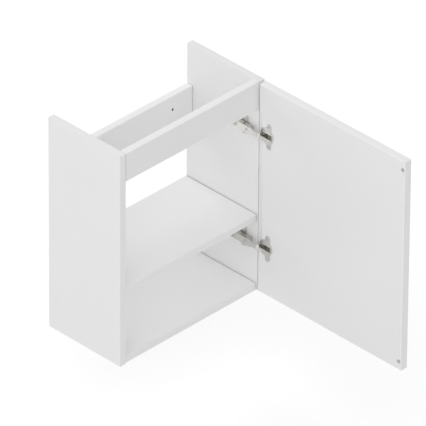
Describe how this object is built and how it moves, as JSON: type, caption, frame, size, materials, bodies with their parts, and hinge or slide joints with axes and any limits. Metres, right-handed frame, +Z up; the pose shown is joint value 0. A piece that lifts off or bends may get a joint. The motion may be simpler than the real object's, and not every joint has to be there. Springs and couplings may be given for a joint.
{
  "type": "under-sink cabinet",
  "caption": "White wall-hung under-sink cabinet: open-back carcass with a shelf and rails, and a full-overlay door with a routed finger grip on concealed hinges.",
  "frame": {"origin": "midpoint of the two wall fixing holes, on the rear plane that meets the wall", "axes": "+X to the right seen from the front, +Y into the wall, +Z up; the front faces -Y"},
  "size_m": [0.4, 0.6002, 0.495],
  "materials": {
    "white_board": "white melamine-faced particle board, satin",
    "edge_band": "white edge band with rounded arrises, satin",
    "nickel_steel": "nickel-plated pressed steel",
    "bright_steel": "zinc-plated steel",
    "cast_zinc": "die-cast zinc",
    "beech": "plain beech",
    "clear_pad": "soft translucent pad"
  },
  "bodies": {
    "carcass": {"left_side_panel": "white_board", "right_side_panel": "white_board", "bottom_panel": "white_board", "shelf_panel": "white_board", "front_rail": "white_board", "back_rail": "white_board", "left_side_edge_bands": "edge_band", "right_side_edge_bands": "edge_band", "bottom_edge_band": "edge_band", "shelf_edge_band": "edge_band", "front_rail_edge_bands": "edge_band", "back_rail_edge_bands": "edge_band", "bottom_cam_locks": "cast_zinc", "bottom_cam_bolts": "bright_steel", "bottom_dowels": "beech", "shelf_cam_locks": "cast_zinc", "shelf_cam_bolts": "bright_steel", "shelf_dowels": "beech", "front_rail_cam_locks": "cast_zinc", "front_rail_cam_bolts": "bright_steel", "front_rail_dowels": "beech", "back_rail_cam_locks": "cast_zinc", "back_rail_cam_bolts": "bright_steel", "back_rail_dowels": "beech", "upper_hinge_plate": "nickel_steel", "upper_hinge_arm": "nickel_steel", "upper_hinge_plate_screws": "bright_steel", "upper_hinge_arm_screws": "bright_steel", "lower_hinge_plate": "nickel_steel", "lower_hinge_arm": "nickel_steel", "lower_hinge_plate_screws": "bright_steel", "lower_hinge_arm_screws": "bright_steel"},
    "door": {"door_panel": "white_board", "door_edge_bands": "edge_band", "door_bumper_pads": "clear_pad", "upper_hinge_cup": "nickel_steel", "upper_hinge_cup_screws": "bright_steel", "upper_hinge_pin": "bright_steel", "lower_hinge_cup": "nickel_steel", "lower_hinge_cup_screws": "bright_steel", "lower_hinge_pin": "bright_steel"}
  },
  "joints": [
    {"name": "door_swing", "type": "hinge", "parent": "carcass", "child": "door", "pos_m": [0.19085, -0.21135, 0], "axis": [0, 0, 1], "range_deg": [-90, 5]}
  ]
}
